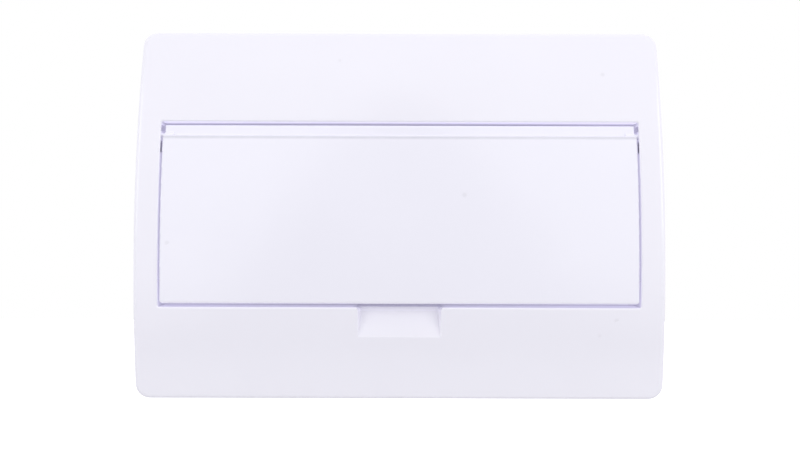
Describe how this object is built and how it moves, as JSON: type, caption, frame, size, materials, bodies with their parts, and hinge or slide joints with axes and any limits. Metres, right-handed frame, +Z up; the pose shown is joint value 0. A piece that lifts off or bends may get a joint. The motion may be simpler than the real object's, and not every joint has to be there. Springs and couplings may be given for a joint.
{
  "type": "breaker panel box",
  "caption": "Surface-mounted breaker panel box with a bulged cover, a lift-up door, a mounting rail with a row of modules, and terminal bars.",
  "frame": {"origin": "middle of the back face, which lies on the wall", "axes": "X to the right seen from the front, Z up, the front faces -Y"},
  "size_m": [0.291, 0.092, 0.205],
  "materials": {
    "cover_plastic": "semi-gloss moulded ABS, white with a cool cast",
    "door_plastic": "semi-gloss moulded ABS, white with a cool cast",
    "box_plastic": "fine-textured moulded ABS, white",
    "blank_plastic": "semi-gloss moulded ABS, white",
    "case_plastic": "fine-textured light grey polyamide",
    "toggle_black": "satin black",
    "toggle_blue": "satin blue",
    "button_yellow": "satin yellow",
    "latch_plastic": "satin near-black",
    "zinc_steel": "bright zinc plate",
    "screw_steel": "zinc-plated steel",
    "brass": "machined brass",
    "copper": "bare rolled copper",
    "insulator_grey": "extruded grey PVC",
    "holder_blue": "blue polyamide",
    "holder_green": "green polyamide",
    "label_paper": "plain white label"
  },
  "bodies": {
    "housing": {"back_box": "box_plastic", "front_cover": "cover_plastic", "finger_pocket": "cover_plastic", "din_rail": "zinc_steel", "rail_screws": "screw_steel", "cover_screws": "screw_steel", "blanking_strip": "blank_plastic", "label_strip": "label_paper", "neutral_bar": "brass", "neutral_bar_screws": "screw_steel", "neutral_bar_holder": "holder_blue", "earth_bar": "brass", "earth_bar_screws": "screw_steel", "earth_bar_holder": "holder_green", "bar_holder_screws": "screw_steel", "comb_busbar": "copper", "comb_busbar_insulator": "insulator_grey", "module_terminal_screws": "screw_steel", "main_switch_case": "case_plastic", "breaker_1_case": "case_plastic", "breaker_2_case": "case_plastic", "breaker_3_case": "case_plastic", "breaker_4_case": "case_plastic", "breaker_5_case": "case_plastic", "breaker_6_case": "case_plastic"},
    "door": {"door": "door_plastic"},
    "main_switch_toggle": {"main_switch_toggle": "toggle_blue"},
    "main_switch_test_button": {"main_switch_test_button": "button_yellow"},
    "main_switch_rail_latch": {"main_switch_rail_latch": "latch_plastic"},
    "breaker_1_toggle": {"breaker_1_toggle": "toggle_black"},
    "breaker_1_rail_latch": {"breaker_1_rail_latch": "latch_plastic"},
    "breaker_2_toggle": {"breaker_2_toggle": "toggle_black"},
    "breaker_2_rail_latch": {"breaker_2_rail_latch": "latch_plastic"},
    "breaker_3_toggle": {"breaker_3_toggle": "toggle_black"},
    "breaker_3_rail_latch": {"breaker_3_rail_latch": "latch_plastic"},
    "breaker_4_toggle": {"breaker_4_toggle": "toggle_black"},
    "breaker_4_rail_latch": {"breaker_4_rail_latch": "latch_plastic"},
    "breaker_5_toggle": {"breaker_5_toggle": "toggle_black"},
    "breaker_5_rail_latch": {"breaker_5_rail_latch": "latch_plastic"},
    "breaker_6_toggle": {"breaker_6_toggle": "toggle_black"},
    "breaker_6_rail_latch": {"breaker_6_rail_latch": "latch_plastic"}
  },
  "joints": [
    {"name": "door_hinge", "type": "hinge", "parent": "housing", "child": "door", "pos_m": [0, -0.08126, 0.0426], "axis": [-1, 0, 0], "range_deg": [0, 132]},
    {"name": "main_switch_toggle_throw", "type": "hinge", "parent": "housing", "child": "main_switch_toggle", "pos_m": [-0.089, -0.0597, 0], "axis": [1, 0, 0], "range_deg": [0, 70]},
    {"name": "breaker_1_toggle_throw", "type": "hinge", "parent": "housing", "child": "breaker_1_toggle", "pos_m": [-0.0623, -0.0597, 0], "axis": [1, 0, 0], "range_deg": [0, 70]},
    {"name": "breaker_2_toggle_throw", "type": "hinge", "parent": "housing", "child": "breaker_2_toggle", "pos_m": [-0.0445, -0.0597, 0], "axis": [1, 0, 0], "range_deg": [0, 70]},
    {"name": "breaker_3_toggle_throw", "type": "hinge", "parent": "housing", "child": "breaker_3_toggle", "pos_m": [-0.0267, -0.0597, 0], "axis": [1, 0, 0], "range_deg": [0, 70]},
    {"name": "breaker_4_toggle_throw", "type": "hinge", "parent": "housing", "child": "breaker_4_toggle", "pos_m": [-0.0089, -0.0597, 0], "axis": [1, 0, 0], "range_deg": [0, 70]},
    {"name": "breaker_5_toggle_throw", "type": "hinge", "parent": "housing", "child": "breaker_5_toggle", "pos_m": [0.0089, -0.0597, 0], "axis": [1, 0, 0], "range_deg": [0, 70]},
    {"name": "breaker_6_toggle_throw", "type": "hinge", "parent": "housing", "child": "breaker_6_toggle", "pos_m": [0.0267, -0.0597, 0], "axis": [1, 0, 0], "range_deg": [0, 70]},
    {"name": "main_switch_test_button_press", "type": "slide", "parent": "housing", "child": "main_switch_test_button", "axis": [0, 1, 0], "range_m": [0, 0.0015], "stiffness_N_per_m": 400, "springref_m": -0.001},
    {"name": "main_switch_rail_latch_pull", "type": "slide", "parent": "housing", "child": "main_switch_rail_latch", "axis": [0, 0, -1], "range_m": [0, 0.003], "stiffness_N_per_m": 500, "springref_m": -0.002},
    {"name": "breaker_1_rail_latch_pull", "type": "slide", "parent": "housing", "child": "breaker_1_rail_latch", "axis": [0, 0, -1], "range_m": [0, 0.003], "stiffness_N_per_m": 500, "springref_m": -0.002},
    {"name": "breaker_2_rail_latch_pull", "type": "slide", "parent": "housing", "child": "breaker_2_rail_latch", "axis": [0, 0, -1], "range_m": [0, 0.003], "stiffness_N_per_m": 500, "springref_m": -0.002},
    {"name": "breaker_3_rail_latch_pull", "type": "slide", "parent": "housing", "child": "breaker_3_rail_latch", "axis": [0, 0, -1], "range_m": [0, 0.003], "stiffness_N_per_m": 500, "springref_m": -0.002},
    {"name": "breaker_4_rail_latch_pull", "type": "slide", "parent": "housing", "child": "breaker_4_rail_latch", "axis": [0, 0, -1], "range_m": [0, 0.003], "stiffness_N_per_m": 500, "springref_m": -0.002},
    {"name": "breaker_5_rail_latch_pull", "type": "slide", "parent": "housing", "child": "breaker_5_rail_latch", "axis": [0, 0, -1], "range_m": [0, 0.003], "stiffness_N_per_m": 500, "springref_m": -0.002},
    {"name": "breaker_6_rail_latch_pull", "type": "slide", "parent": "housing", "child": "breaker_6_rail_latch", "axis": [0, 0, -1], "range_m": [0, 0.003], "stiffness_N_per_m": 500, "springref_m": -0.002}
  ]
}
